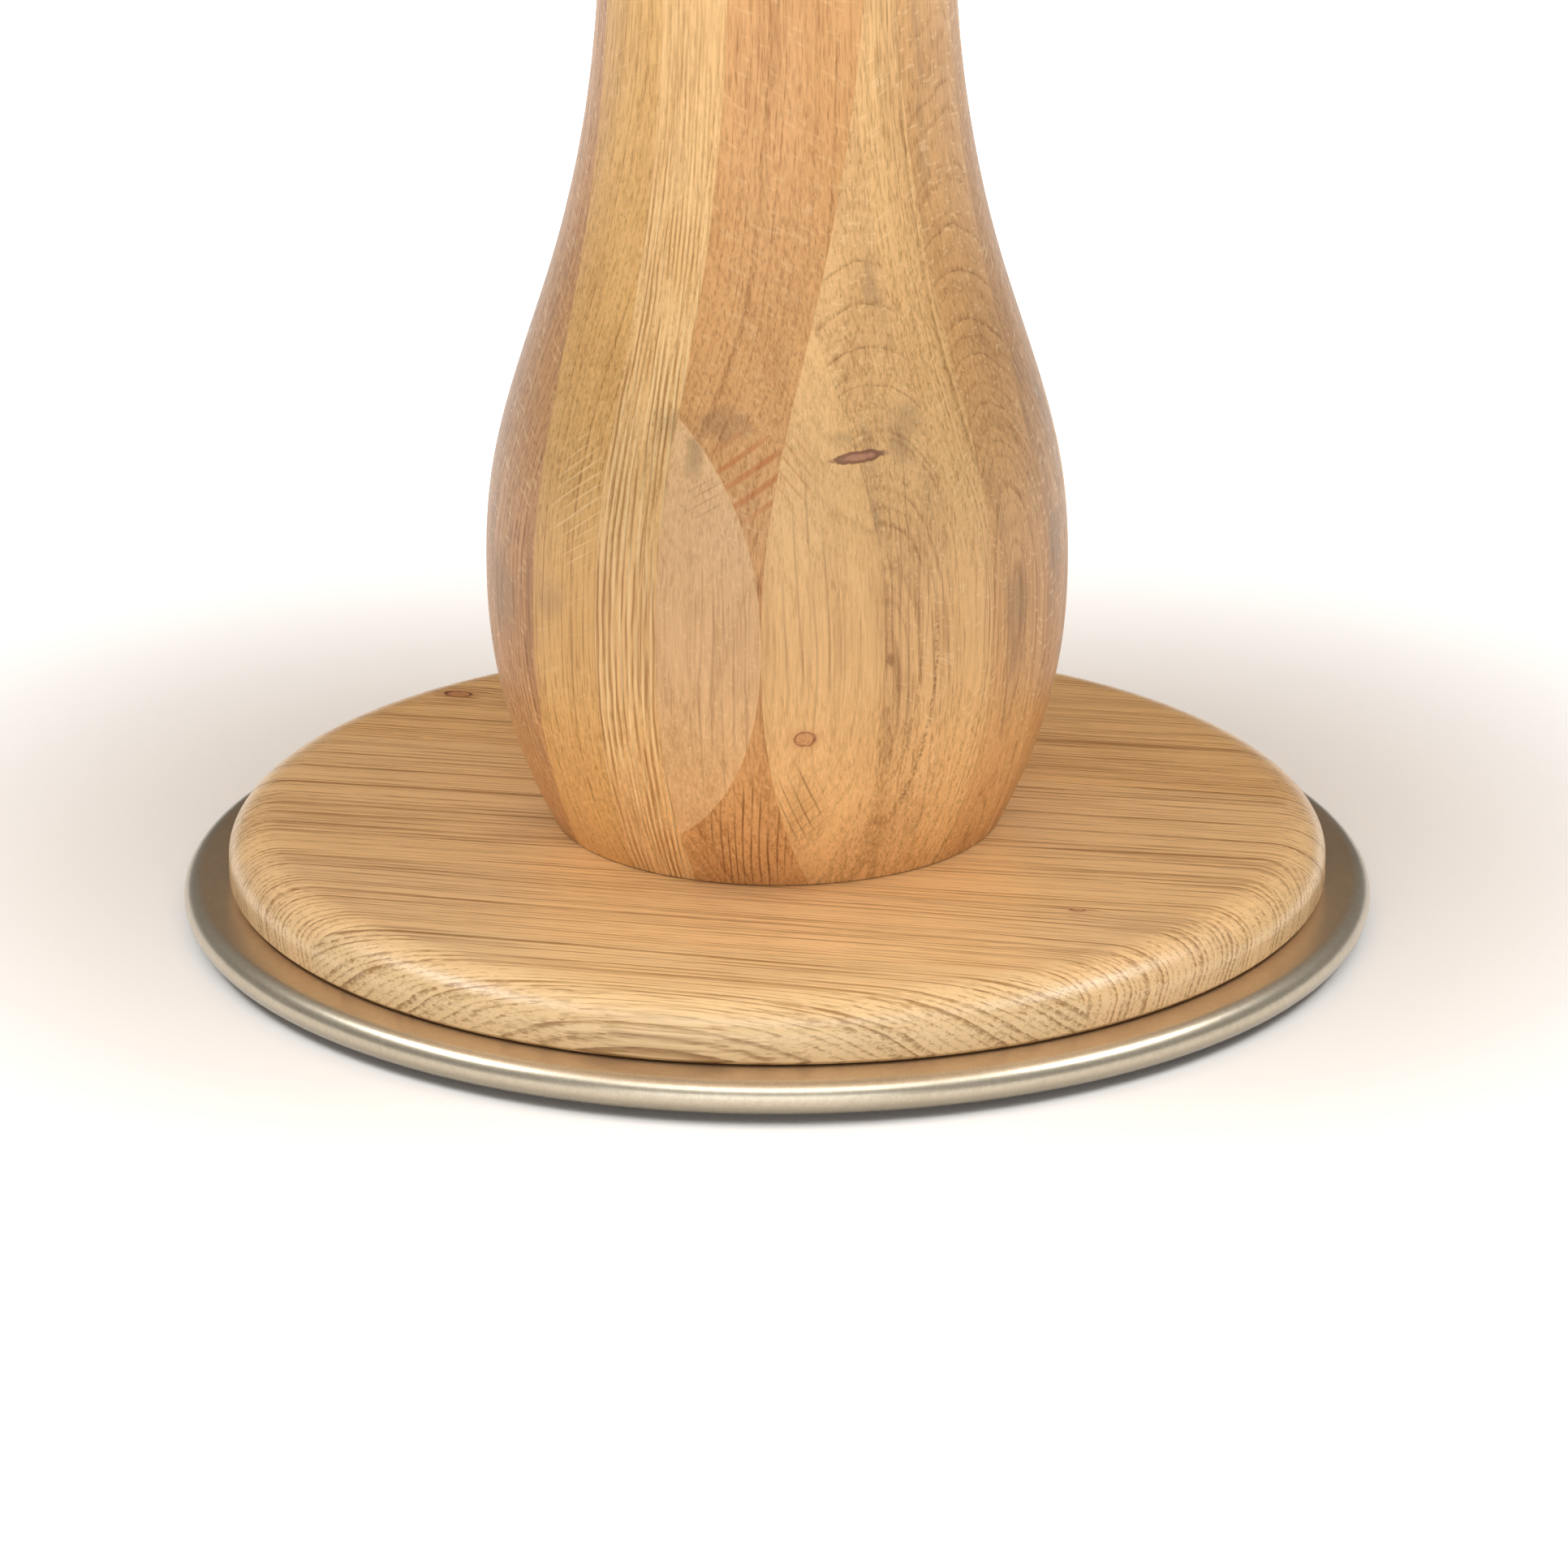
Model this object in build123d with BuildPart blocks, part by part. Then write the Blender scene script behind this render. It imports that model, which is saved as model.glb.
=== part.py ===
from build123d import *
import math
import os

# Round pedestal table: a solid oak top on a turned, block-laminated oak column, which stands on an
# oak disc over a metal-lacquered, weighted base plate with four levelling feet.
# Millimetres, +Z up, origin on the floor under the middle of the table, front towards -Y.

# ---------------------------------------------------------------- driving dimensions
table_height = 760.0
top_diameter = 1200.0
top_thickness = 32.0

base_diameter = 700.0  # metal base cover, over its half-round rim
rim_thickness = 19.7
cover_wall = 3.0
floor_gap = 5.0  # under the rim, made by the levelling feet

disc_diameter = 646.4  # oak disc on the base cover
disc_thickness = 33.7
edge_round_width = 30.0  # elliptical rounding of both oak discs' upper edges
edge_round_height = 21.0
edge_ease = 2.2  # small chamfer at their lower edges

gasket_thickness = 1.2
column_pad_thickness = 0.6
mounting_plate_thickness = 6.0

grain_angle = -11.3  # direction of the boards in plan, from +X
block_angle = 54.5  # turn of the column's laminated block, from the front

rod_radius = 8.0  # M16 tie rod
rod_hole_radius = 12.0

foot_circle_radius = 250.0
foot_count = 4
first_foot_angle = 45.0
foot_pad_radius = 20.0
foot_pad_lower_round = 1.2
foot_pad_upper_round = 0.6
foot_stem_radius = 5.0  # M10 x 1.5
foot_stem_chamfer = 0.8
foot_neck_radius = 4.0
running_clearance = 0.05
stop_gap = 0.3
hex_socket_radius = 2.5  # to the corners
hex_socket_depth = 2.5

# ---------------------------------------------------------------- levels, from the floor up
rim_radius = rim_thickness / 2
rim_centre_radius = base_diameter / 2 - rim_radius
cover_top = floor_gap + rim_thickness
core_top = cover_top - cover_wall
core_bottom = floor_gap
disc_bottom = cover_top + gasket_thickness
disc_top = disc_bottom + disc_thickness
column_foot = disc_top + column_pad_thickness
top_underside = table_height - top_thickness
plate_bottom = top_underside - mounting_plate_thickness
column_height = plate_bottom - column_foot

# ---------------------------------------------------------------- fastener and joinery sizes
ballast_radius = 280.0
filler_inner_radius = 280.5
filler_outer_radius = 333.0
filler_setback = 1.0  # above the ballast's underside
felt_setback = 8.0  # inside the oak disc's edge
column_pad_setback = 2.5  # inside the column's foot
steel_edge_ease = 1.0
saw_margin = 1.0  # by which a cutting block runs past the wood

base_screw_radius = 2.5
base_screw_head_radius = 5.5
base_screw_head_depth = 3.5
base_screw_circle = 205.0
base_screw_count = 6
first_base_screw_angle = 30.0
base_screw_top = disc_bottom + 22.0
base_screw_point = 1.6  # chamfer at the tip
base_screw_sink = 1.0  # head above the ballast's underside

dowel_radius = 6.0
dowel_circle = 80.0
dowel_count = 4
first_dowel_angle = 45.0
dowel_depth = 18.0
dowel_end_gap = 1.0
dowel_chamfer = 1.0

nut_across_flats = 24.0
nut_height = 8.0
washer_radius = 17.0
washer_thickness = 3.0
rod_chamfer = 1.2
rod_sink = 0.4  # of its lower end, inside the lower nut
rod_stand = 2.0  # of its upper end, above the upper nut
bottom_recess_radius = 21.0
bottom_recess_gap = 0.6
bottom_recess_depth = nut_height + washer_thickness + bottom_recess_gap
top_recess_radius = 30.0
top_recess_depth = 18.0

plate_radius = 200.0
plate_screw_radius = 3.0
plate_screw_circle = 72.0
plate_screw_count = 4
plate_screw_depth = 50.0
plate_screw_sink = 0.3
plate_screw_point = 2.0

top_bolt_radius = 4.0
top_bolt_head_radius = 7.0
top_bolt_head_height = 5.0
top_bolt_head_round = 1.5
top_bolt_length = 14.0
top_bolt_circle = 170.0
top_bolt_count = 8
top_slot_length = 16.0
top_slot_clearance = 1.0
insert_radius = 6.5
insert_length = 15.0

stiffener_length = 900.0
stiffener_width = 30.0
stiffener_height = 12.0
stiffener_wall = 3.0
stiffener_side_gap = 1.0
stiffener_end_gap = 4.0
stiffener_offset = 270.0  # from the axis, measured along the boards
stiffener_screw_spacing = 200.0
stiffener_screw_count = 5
stiffener_screw_length = 11.0
stiffener_screw_gap = 0.5  # under the tip

# Levels that depend on the fasteners
nut_seat = core_bottom + bottom_recess_depth
rod_bottom = nut_seat - washer_thickness - nut_height + rod_sink
rod_top = top_underside + washer_thickness + nut_height + rod_stand
foot_pad_top = core_bottom - stop_gap
foot_socket_depth = 3.2
foot_collar_gap = 0.1  # between the pad and the stem's shoulder
foot_stem_gap = 0.7  # between the stem and the cover
foot_stem_socket_depth = 4.0
foot_stem_top = core_top - foot_stem_gap

# ---------------------------------------------------------------- joints between boards
# Boards of the base disc and the top run along the grain; a joint is its distance from the axis.
base_board_joints = [-235.0, -132.0, -29.0, 75.0, 178.0]
top_board_joints = [-467.0, -333.0, -200.0, -67.0, 67.0, 200.0, 333.0, 467.0]

# The column's block is built of boards in layers. Each row is one layer: its lower and upper
# face, from the axis, then the edge joints of the boards in it.
outside = 190.0
column_layers = [
    (90.7, outside, [-84.0, -30.0, 23.5, 53.0, 93.5]),
    (34.0, 90.7, [-48.0, 143.0]),
    (-6.0, 34.0, [0.0]),
    (-57.0, -6.0, [20.0]),
    (-106.0, -57.0, [-20.0]),
    (-outside, -106.0, [-60.0, 10.0, 70.0]),
]

os.makedirs("parts", exist_ok=True)


def save(builder, name):
    """Label one finished piece and write its STEP file."""
    builder.part.label = name
    export_step(builder.part, f"parts/{name}.step")


def turned_plane(height, angle):
    """A horizontal plane at a height, with its X axis turned by an angle about +Z."""
    turn = math.radians(angle)
    return Plane(origin=(0, 0, height), x_dir=(math.cos(turn), math.sin(turn), 0), z_dir=(0, 0, 1))


def strips(joints, limit):
    """The pairs of edges of the boards between the given joints."""
    edges = [-limit] + joints + [limit]
    return list(zip(edges[:-1], edges[1:]))


# ================================================================ base plate
# Spun steel cover: a flat top that runs into a hollow half-round rim.
with BuildPart() as base_cover:
    with BuildSketch(Plane.XZ):
        with BuildLine():
            Line((rod_hole_radius, cover_top), (rim_centre_radius, cover_top))
            RadiusArc((rim_centre_radius, cover_top), (rim_centre_radius, floor_gap), rim_radius)
            Line((rim_centre_radius, floor_gap), (rim_centre_radius, floor_gap + cover_wall))
            RadiusArc(
                (rim_centre_radius, floor_gap + cover_wall),
                (rim_centre_radius, core_top),
                -(rim_radius - cover_wall),
            )
            Line((rim_centre_radius, core_top), (rod_hole_radius, core_top))
            Line((rod_hole_radius, core_top), (rod_hole_radius, cover_top))
        make_face()
    revolve(axis=Axis.Z)
    with BuildSketch(Plane.XY.offset(core_top)):
        with PolarLocations(base_screw_circle, base_screw_count, start_angle=first_base_screw_angle):
            Circle(base_screw_radius + stop_gap)
    extrude(amount=cover_wall, mode=Mode.SUBTRACT)
save(base_cover, "base_cover")

# Steel ballast disc with the tapped holes for the feet and the recess for the tie rod's nut.
with BuildPart() as ballast_plate:
    with BuildSketch(Plane.XY.offset(core_bottom)):
        Circle(ballast_radius)
        Circle(rod_hole_radius, mode=Mode.SUBTRACT)
        with PolarLocations(foot_circle_radius, foot_count, start_angle=first_foot_angle):
            Circle(foot_stem_radius + running_clearance, mode=Mode.SUBTRACT)
        with PolarLocations(base_screw_circle, base_screw_count, start_angle=first_base_screw_angle):
            Circle(base_screw_radius + stop_gap, mode=Mode.SUBTRACT)
    extrude(amount=core_top - core_bottom)
    with BuildSketch(Plane.XY.offset(core_bottom)):
        Circle(bottom_recess_radius)
        with PolarLocations(base_screw_circle, base_screw_count, start_angle=first_base_screw_angle):
            Circle(base_screw_head_radius + stop_gap)
    extrude(amount=base_screw_head_depth + base_screw_sink, mode=Mode.SUBTRACT)
    with BuildSketch(Plane.XY.offset(core_bottom)):
        Circle(bottom_recess_radius)
    extrude(amount=bottom_recess_depth, mode=Mode.SUBTRACT)
    ballast_rims = ballast_plate.edges().filter_by(GeomType.CIRCLE).sort_by(SortBy.RADIUS)[-2:]
    fillet(ballast_rims, steel_edge_ease)
save(ballast_plate, "ballast_plate")

# Fibreboard ring that fills the cover outside the ballast and backs its flat border.
with BuildPart() as filler_ring:
    with BuildSketch(Plane.XY.offset(core_bottom + filler_setback)):
        Circle(filler_outer_radius)
        Circle(filler_inner_radius, mode=Mode.SUBTRACT)
    extrude(amount=core_top - core_bottom - filler_setback)
save(filler_ring, "base_filler_ring")

# Thin dark felt between the cover and the oak disc, set back to leave a shadow line.
with BuildPart() as base_felt:
    with BuildSketch(Plane.XY.offset(cover_top)):
        Circle(disc_diameter / 2 - felt_setback)
        Circle(rod_hole_radius, mode=Mode.SUBTRACT)
        with PolarLocations(base_screw_circle, base_screw_count, start_angle=first_base_screw_angle):
            Circle(base_screw_radius + stop_gap, mode=Mode.SUBTRACT)
    extrude(amount=gasket_thickness)
save(base_felt, "base_felt")


# ================================================================ oak discs
def turned_disc(radius, bottom, top):
    """An oak disc turned about the axis: chamfered lower edge, elliptical upper edge."""
    with BuildPart() as disc:
        with BuildSketch(Plane.XZ):
            with BuildLine():
                Line((0, top), (0, bottom))
                Line((0, bottom), (radius - edge_ease, bottom))
                Line((radius - edge_ease, bottom), (radius, bottom + edge_ease))
                Line((radius, bottom + edge_ease), (radius, top - edge_round_height))
                EllipticalCenterArc(
                    (radius - edge_round_width, top - edge_round_height),
                    edge_round_width,
                    edge_round_height,
                    start_angle=0,
                    arc_size=90,
                )
                Line((radius - edge_round_width, top), (0, top))
            make_face()
        revolve(axis=Axis.Z)
    return disc.part


with BuildPart() as base_disc:
    add(turned_disc(disc_diameter / 2, disc_bottom, disc_top))
    with BuildSketch(Plane.XY.offset(disc_bottom)):
        Circle(rod_hole_radius)
    extrude(amount=disc_thickness, mode=Mode.SUBTRACT)
    with BuildSketch(Plane.XY.offset(disc_bottom)):
        with PolarLocations(base_screw_circle, base_screw_count, start_angle=first_base_screw_angle):
            Circle(base_screw_radius)
    extrude(amount=base_screw_top - disc_bottom, mode=Mode.SUBTRACT)
    with BuildSketch(Plane.XY.offset(disc_top)):
        with PolarLocations(dowel_circle, dowel_count, start_angle=first_dowel_angle):
            Circle(dowel_radius)
    extrude(amount=-dowel_depth, mode=Mode.SUBTRACT)

with BuildPart() as table_top:
    add(turned_disc(top_diameter / 2, top_underside, table_height))
    with BuildSketch(Plane.XY.offset(top_underside)):
        Circle(top_recess_radius)
    extrude(amount=top_recess_depth, mode=Mode.SUBTRACT)
    with BuildSketch(Plane.XY.offset(top_underside)):
        with PolarLocations(top_bolt_circle, top_bolt_count):
            Circle(insert_radius)
    extrude(amount=insert_length, mode=Mode.SUBTRACT)
    with BuildSketch(turned_plane(top_underside, grain_angle)):
        with Locations((-stiffener_offset, 0), (stiffener_offset, 0)):
            Rectangle(stiffener_width, stiffener_length)
    extrude(amount=stiffener_height, mode=Mode.SUBTRACT)
    with BuildSketch(turned_plane(top_underside + stiffener_height, grain_angle)):
        with Locations((-stiffener_offset, 0), (stiffener_offset, 0)):
            with GridLocations(0, stiffener_screw_spacing, 1, stiffener_screw_count):
                Circle(base_screw_radius)
    extrude(amount=stiffener_screw_length - stiffener_wall, mode=Mode.SUBTRACT)


def saw_boards(disc, joints, radius, bottom, top, stem):
    """Part a glued-up disc into its boards along the grain, and save each of them."""
    for number, (low, high) in enumerate(strips(joints, radius + saw_margin), start=1):
        with BuildPart() as board:
            add(disc.part)
            with BuildSketch(turned_plane(bottom, grain_angle)):
                with Locations((0, (low + high) / 2)):
                    Rectangle(2 * (radius + saw_margin), high - low)
            extrude(amount=top - bottom, mode=Mode.INTERSECT)
        save(board, f"{stem}_{number}")


saw_boards(base_disc, base_board_joints, disc_diameter / 2, disc_bottom, disc_top, "base_board")
saw_boards(table_top, top_board_joints, top_diameter / 2, top_underside, table_height, "top_board")

# Countersunk screws that hold the oak disc down through the ballast and the cover.
with BuildPart() as base_screws:
    with BuildSketch(Plane.XY.offset(core_bottom + base_screw_sink)):
        with PolarLocations(base_screw_circle, base_screw_count, start_angle=first_base_screw_angle):
            Circle(base_screw_head_radius)
    extrude(amount=base_screw_head_depth)
    with BuildSketch(Plane.XY.offset(core_bottom + base_screw_sink)):
        with PolarLocations(base_screw_circle, base_screw_count, start_angle=first_base_screw_angle):
            Circle(base_screw_radius - running_clearance)
    extrude(amount=base_screw_top - core_bottom - base_screw_sink)
    chamfer(base_screws.faces().group_by(Axis.Z)[-1].edges(), base_screw_point)
save(base_screws, "base_screws")

# ================================================================ column
# The outline of the turned column: foot, belly, neck and a slight flare under the top.
belly_radius = 169.3
foot_radius = 132.0
neck_radius = 100.0
head_radius = 104.0
outline = [
    (foot_radius, 0.0),
    (154.2, 53.0),
    (166.4, 106.0),
    (belly_radius, 152.0),
    (165.3, 210.0),
    (154.5, 256.0),
    (129.0, 336.0),
    (107.0, 440.0),
    (neck_radius, 545.0),
    (head_radius, column_height),
]

with BuildPart() as column:
    with BuildSketch(Plane.XZ):
        with BuildLine():
            Spline(*[(radius, column_foot + height) for radius, height in outline])
            Line((head_radius, plate_bottom), (rod_hole_radius, plate_bottom))
            Line((rod_hole_radius, plate_bottom), (rod_hole_radius, column_foot))
            Line((rod_hole_radius, column_foot), (foot_radius, column_foot))
        make_face()
    revolve(axis=Axis.Z)
    with BuildSketch(Plane.XY.offset(column_foot)):
        with PolarLocations(dowel_circle, dowel_count, start_angle=first_dowel_angle):
            Circle(dowel_radius)
    extrude(amount=dowel_depth, mode=Mode.SUBTRACT)
    with BuildSketch(Plane.XY.offset(plate_bottom)):
        with PolarLocations(plate_screw_circle, plate_screw_count):
            Circle(plate_screw_radius)
    extrude(amount=-plate_screw_depth, mode=Mode.SUBTRACT)

# Each stave is the part of the turned column inside one board of the block.
stave_number = 0
for layer_low, layer_high, edge_joints in column_layers:
    for edge_low, edge_high in strips(edge_joints, outside):
        stave_number += 1
        with BuildPart() as stave:
            add(column.part)
            with BuildSketch(turned_plane(column_foot, block_angle - 90)):
                with Locations(((layer_low + layer_high) / 2, -(edge_low + edge_high) / 2)):
                    Rectangle(layer_high - layer_low, edge_high - edge_low)
            extrude(amount=column_height, mode=Mode.INTERSECT)
        save(stave, f"column_stave_{stave_number:02d}")

# Thin dark pad under the column's foot.
with BuildPart() as column_pad:
    with BuildSketch(Plane.XY.offset(disc_top)):
        Circle(foot_radius - column_pad_setback)
        Circle(rod_hole_radius, mode=Mode.SUBTRACT)
        with PolarLocations(dowel_circle, dowel_count, start_angle=first_dowel_angle):
            Circle(dowel_radius + stop_gap, mode=Mode.SUBTRACT)
    extrude(amount=column_pad_thickness)
save(column_pad, "column_pad")

# Beech dowels that stop the column turning on the disc.
with BuildPart() as column_dowels:
    with BuildSketch(Plane.XY.offset(disc_top - dowel_depth + dowel_end_gap)):
        with PolarLocations(dowel_circle, dowel_count, start_angle=first_dowel_angle):
            Circle(dowel_radius - running_clearance)
    extrude(amount=2 * (dowel_depth - dowel_end_gap) + column_pad_thickness)
    chamfer(column_dowels.faces().filter_by(Axis.Z).edges(), dowel_chamfer)
save(column_dowels, "column_dowels")

# ================================================================ tie rod
with BuildPart() as tie_rod:
    with BuildSketch(Plane.XY.offset(rod_bottom)):
        Circle(rod_radius)
    extrude(amount=rod_top - rod_bottom)
    chamfer(tie_rod.faces().filter_by(Axis.Z).edges(), rod_chamfer)
save(tie_rod, "tie_rod")

with BuildPart() as tie_rod_nuts:
    for nut_bottom in (nut_seat - washer_thickness - nut_height, top_underside + washer_thickness):
        with BuildSketch(Plane.XY.offset(nut_bottom)):
            RegularPolygon(nut_across_flats / 2, 6, major_radius=False)
            Circle(rod_radius, mode=Mode.SUBTRACT)
        extrude(amount=nut_height)
save(tie_rod_nuts, "tie_rod_nuts")

with BuildPart() as tie_rod_washers:
    for washer_bottom in (nut_seat - washer_thickness, top_underside):
        with BuildSketch(Plane.XY.offset(washer_bottom)):
            Circle(washer_radius)
            Circle(rod_radius + stop_gap, mode=Mode.SUBTRACT)
        extrude(amount=washer_thickness)
save(tie_rod_washers, "tie_rod_washers")

# ================================================================ mounting plate under the top
with BuildPart() as mounting_plate:
    with BuildSketch(Plane.XY.offset(plate_bottom)):
        Circle(plate_radius)
        Circle(rod_radius + stop_gap, mode=Mode.SUBTRACT)
        with PolarLocations(plate_screw_circle, plate_screw_count):
            Circle(plate_screw_radius + stop_gap, mode=Mode.SUBTRACT)
        with PolarLocations(top_bolt_circle, top_bolt_count):
            SlotOverall(top_slot_length, 2 * top_bolt_radius + top_slot_clearance, mode=Mode.SUBTRACT)
    extrude(amount=mounting_plate_thickness)
    with BuildSketch(Plane.XY.offset(top_underside)):
        with PolarLocations(plate_screw_circle, plate_screw_count):
            Circle(base_screw_head_radius + stop_gap)
    extrude(amount=-base_screw_head_depth, mode=Mode.SUBTRACT)
    plate_rims = mounting_plate.edges().filter_by(GeomType.CIRCLE).sort_by(SortBy.RADIUS)[-2:]
    chamfer(plate_rims, steel_edge_ease)
save(mounting_plate, "mounting_plate")

# Screws from the plate into the column's head.
with BuildPart() as plate_screws:
    with BuildSketch(Plane.XY.offset(top_underside - plate_screw_sink)):
        with PolarLocations(plate_screw_circle, plate_screw_count):
            Circle(base_screw_head_radius)
    extrude(amount=plate_screw_sink - base_screw_head_depth)
    with BuildSketch(Plane.XY.offset(top_underside - plate_screw_sink)):
        with PolarLocations(plate_screw_circle, plate_screw_count):
            Circle(plate_screw_radius - running_clearance)
    extrude(amount=plate_screw_sink - mounting_plate_thickness - plate_screw_depth)
    chamfer(plate_screws.faces().group_by(Axis.Z)[0].edges(), plate_screw_point)
save(plate_screws, "plate_screws")

# Flanged bolts from below, through the slots, into threaded inserts in the top.
with BuildPart() as top_bolts:
    with BuildSketch(Plane.XY.offset(plate_bottom)):
        with PolarLocations(top_bolt_circle, top_bolt_count):
            Circle(top_bolt_head_radius)
    extrude(amount=-top_bolt_head_height)
    fillet(top_bolts.faces().group_by(Axis.Z)[0].edges(), top_bolt_head_round)
    with BuildSketch(Plane.XY.offset(plate_bottom - top_bolt_head_height)):
        with PolarLocations(top_bolt_circle, top_bolt_count):
            RegularPolygon(hex_socket_radius, 6)
    extrude(amount=hex_socket_depth, mode=Mode.SUBTRACT)
    with BuildSketch(Plane.XY.offset(plate_bottom)):
        with PolarLocations(top_bolt_circle, top_bolt_count):
            Circle(top_bolt_radius)
    extrude(amount=mounting_plate_thickness + top_bolt_length)
save(top_bolts, "top_bolts")

with BuildPart() as top_inserts:
    with BuildSketch(Plane.XY.offset(top_underside)):
        with PolarLocations(top_bolt_circle, top_bolt_count):
            Circle(insert_radius)
            Circle(top_bolt_radius, mode=Mode.SUBTRACT)
    extrude(amount=insert_length)
save(top_inserts, "top_inserts")

# ================================================================ stiffeners let into the top
for side, name in ((-1, "left"), (1, "right")):
    with BuildPart() as stiffener:
        with BuildSketch(turned_plane(top_underside, grain_angle)):
            with Locations((side * stiffener_offset, 0)):
                Rectangle(stiffener_width - stiffener_side_gap, stiffener_length - stiffener_end_gap)
        extrude(amount=stiffener_height)
        with BuildSketch(turned_plane(top_underside, grain_angle)):
            with Locations((side * stiffener_offset, 0)):
                Rectangle(stiffener_width - stiffener_side_gap - 2 * stiffener_wall, stiffener_length)
        extrude(amount=stiffener_height - stiffener_wall, mode=Mode.SUBTRACT)
        with BuildSketch(turned_plane(top_underside, grain_angle)):
            with Locations((side * stiffener_offset, 0)):
                with GridLocations(0, stiffener_screw_spacing, 1, stiffener_screw_count):
                    Circle(base_screw_radius + stop_gap)
        extrude(amount=stiffener_height, mode=Mode.SUBTRACT)
    save(stiffener, f"top_stiffener_{name}")

with BuildPart() as stiffener_screws:
    screw_seat = top_underside + stiffener_height - stiffener_wall
    with BuildSketch(turned_plane(screw_seat, grain_angle)):
        with Locations((-stiffener_offset, 0), (stiffener_offset, 0)):
            with GridLocations(0, stiffener_screw_spacing, 1, stiffener_screw_count):
                Circle(base_screw_head_radius)
    extrude(amount=-base_screw_head_depth)
    with BuildSketch(turned_plane(screw_seat, grain_angle)):
        with Locations((-stiffener_offset, 0), (stiffener_offset, 0)):
            with GridLocations(0, stiffener_screw_spacing, 1, stiffener_screw_count):
                Circle(base_screw_radius - running_clearance)
    extrude(amount=stiffener_screw_length - stiffener_screw_gap)
save(stiffener_screws, "stiffener_screws")

# ================================================================ levelling feet
# Each foot is a nylon pad that slides down as its M10 stem is screwed out of the ballast.
for number in range(1, foot_count + 1):
    turn = math.radians(first_foot_angle + 360 / foot_count * (number - 1))
    foot_x = foot_circle_radius * math.cos(turn)
    foot_y = foot_circle_radius * math.sin(turn)
    with BuildPart() as foot_pad:
        with BuildSketch(Plane((foot_x, foot_y, 0))):
            Circle(foot_pad_radius)
        extrude(amount=foot_pad_top)
        fillet(foot_pad.faces().sort_by(Axis.Z)[0].edges(), foot_pad_lower_round)
        fillet(foot_pad.faces().sort_by(Axis.Z)[-1].edges(), foot_pad_upper_round)
        with BuildSketch(Plane((foot_x, foot_y, foot_pad_top))):
            Circle(foot_neck_radius + running_clearance)
        extrude(amount=-foot_socket_depth, mode=Mode.SUBTRACT)
    save(foot_pad, f"foot_pad_{number}")

    with BuildPart() as foot_stem:
        with BuildSketch(Plane((foot_x, foot_y, foot_pad_top - foot_socket_depth + running_clearance))):
            Circle(foot_neck_radius)
        extrude(amount=foot_socket_depth + stop_gap)
        with BuildSketch(Plane((foot_x, foot_y, foot_pad_top + foot_collar_gap))):
            Circle(foot_stem_radius)
        extrude(amount=foot_stem_top - foot_pad_top - foot_collar_gap)
        chamfer(foot_stem.faces().sort_by(Axis.Z)[-1].edges(), foot_stem_chamfer)
        with BuildSketch(Plane((foot_x, foot_y, foot_stem_top))):
            RegularPolygon(hex_socket_radius, 6)
        extrude(amount=-foot_stem_socket_depth, mode=Mode.SUBTRACT)
    save(foot_stem, f"foot_stem_{number}")
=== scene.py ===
"""Looks of the round pedestal table: solid oak in three dimensions, champagne lacquer, a pale studio."""
import math
import random

import bpy
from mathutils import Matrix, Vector


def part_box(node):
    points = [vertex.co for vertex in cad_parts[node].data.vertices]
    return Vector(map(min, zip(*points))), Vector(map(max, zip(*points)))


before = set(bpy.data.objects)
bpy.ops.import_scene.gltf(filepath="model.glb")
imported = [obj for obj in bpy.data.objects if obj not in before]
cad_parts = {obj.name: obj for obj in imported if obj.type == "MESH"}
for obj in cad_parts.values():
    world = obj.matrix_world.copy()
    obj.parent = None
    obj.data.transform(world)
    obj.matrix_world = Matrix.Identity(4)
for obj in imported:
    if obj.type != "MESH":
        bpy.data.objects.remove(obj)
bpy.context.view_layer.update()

# ---------------------------------------------------------------- measures taken from the frame
cover_low, cover_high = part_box("base_cover")
base_radius = (cover_high.x - cover_low.x) / 2
disc_top = max(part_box(name)[1].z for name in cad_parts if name.startswith("base_board"))

MM = 0.001
GRAIN_ANGLE = math.radians(-11.3)  # direction of the boards in plan
BLOCK_ANGLE = math.radians(54.5)  # azimuth of the column block's layers, from the front
BELLY = 165.0  # mean radius of the belly's surface, for lengths measured round it


def azimuth_direction(azimuth):
    """Level direction at an azimuth from the front (-Y), positive towards +X."""
    return Vector((math.sin(azimuth), -math.cos(azimuth), 0))


UP = Vector((0, 0, 1))
GRAIN = Vector((math.cos(GRAIN_ANGLE), math.sin(GRAIN_ANGLE), 0))
ACROSS = Vector((-math.sin(GRAIN_ANGLE), math.cos(GRAIN_ANGLE), 0))
BLOCK_OUT = azimuth_direction(BLOCK_ANGLE)
BLOCK_SIDE = azimuth_direction(BLOCK_ANGLE - math.pi / 2)
BOARD_AXES = (GRAIN, ACROSS, UP)
STAVE_AXES = (UP, BLOCK_SIDE, BLOCK_OUT)


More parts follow.
